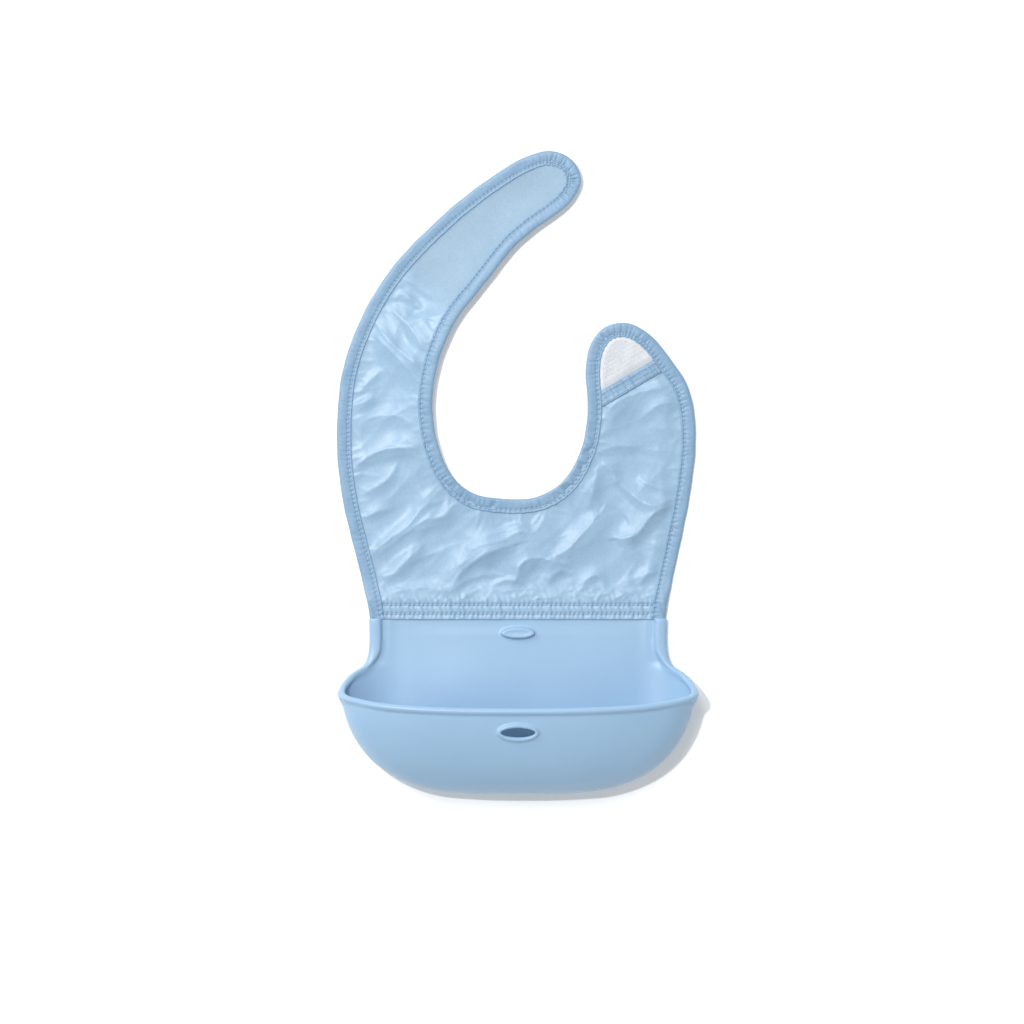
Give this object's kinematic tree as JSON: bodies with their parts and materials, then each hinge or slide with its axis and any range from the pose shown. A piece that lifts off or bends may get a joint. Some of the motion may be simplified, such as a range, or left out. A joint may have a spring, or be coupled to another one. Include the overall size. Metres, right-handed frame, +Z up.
{
  "type": "baby bib",
  "caption": "Baby's bib with a bound fabric body, a long neck strap that closes on a hook patch, and a moulded silicone pocket that catches food.",
  "frame": {"origin": "on the surface that the bib lies on, under the middle of its overall box", "axes": "+Y from the silicone pocket towards the neck, +Z up out of the bib's front, +X towards the short tab"},
  "size_m": [0.2198, 0.3936, 0.043],
  "materials": {
    "silicone": "soft satin",
    "nylon": "satin, coated",
    "backing": "smooth, coated",
    "tape": "satin",
    "thread": "twisted thread",
    "hook": "fine hooks",
    "loop": "brushed loop",
    "label": "woven, blank"
  },
  "bodies": {
    "catcher": {"silicone_catcher": "silicone", "hem_front": "nylon", "hem_back": "backing", "hem_binding_left": "tape", "hem_binding_right": "tape", "hem_thread_upper": "thread", "hem_thread_lower": "thread", "care_label": "label"},
    "chest": {"chest_face": "nylon", "chest_backing": "backing", "chest_binding_left": "tape", "chest_binding_neck": "tape", "chest_thread_left": "thread", "chest_thread_neck": "thread", "hook_patch": "hook", "hook_cover_tape": "tape", "hook_tape_thread_upper": "thread", "hook_tape_thread_lower": "thread"},
    "strap": {"strap_face": "nylon", "strap_backing": "backing", "strap_binding_outer": "tape", "strap_binding_neck": "tape", "strap_thread_outer": "thread", "strap_thread_neck": "thread"},
    "strap_end": {"strap_end_face": "nylon", "loop_patch": "loop", "strap_end_binding": "tape", "strap_end_thread": "thread"}
  },
  "joints": [
    {"name": "body_fold", "type": "hinge", "parent": "catcher", "child": "chest", "pos_m": [0.00117, -0.07925, 0.0021], "axis": [1, 0, 0], "range_deg": [0, 140]},
    {"name": "strap_close", "type": "hinge", "parent": "chest", "child": "strap", "pos_m": [-0.04433, 0.07625, 0.0007], "axis": [-0.0872, 0, 0.9962], "range_deg": [-60, 0]},
    {"name": "strap_end_lift", "type": "hinge", "parent": "strap", "child": "strap_end", "pos_m": [-0.05278, 0.1064, 0.002], "axis": [0.7594, -0.6506, 0], "range_deg": [0, 60]}
  ]
}
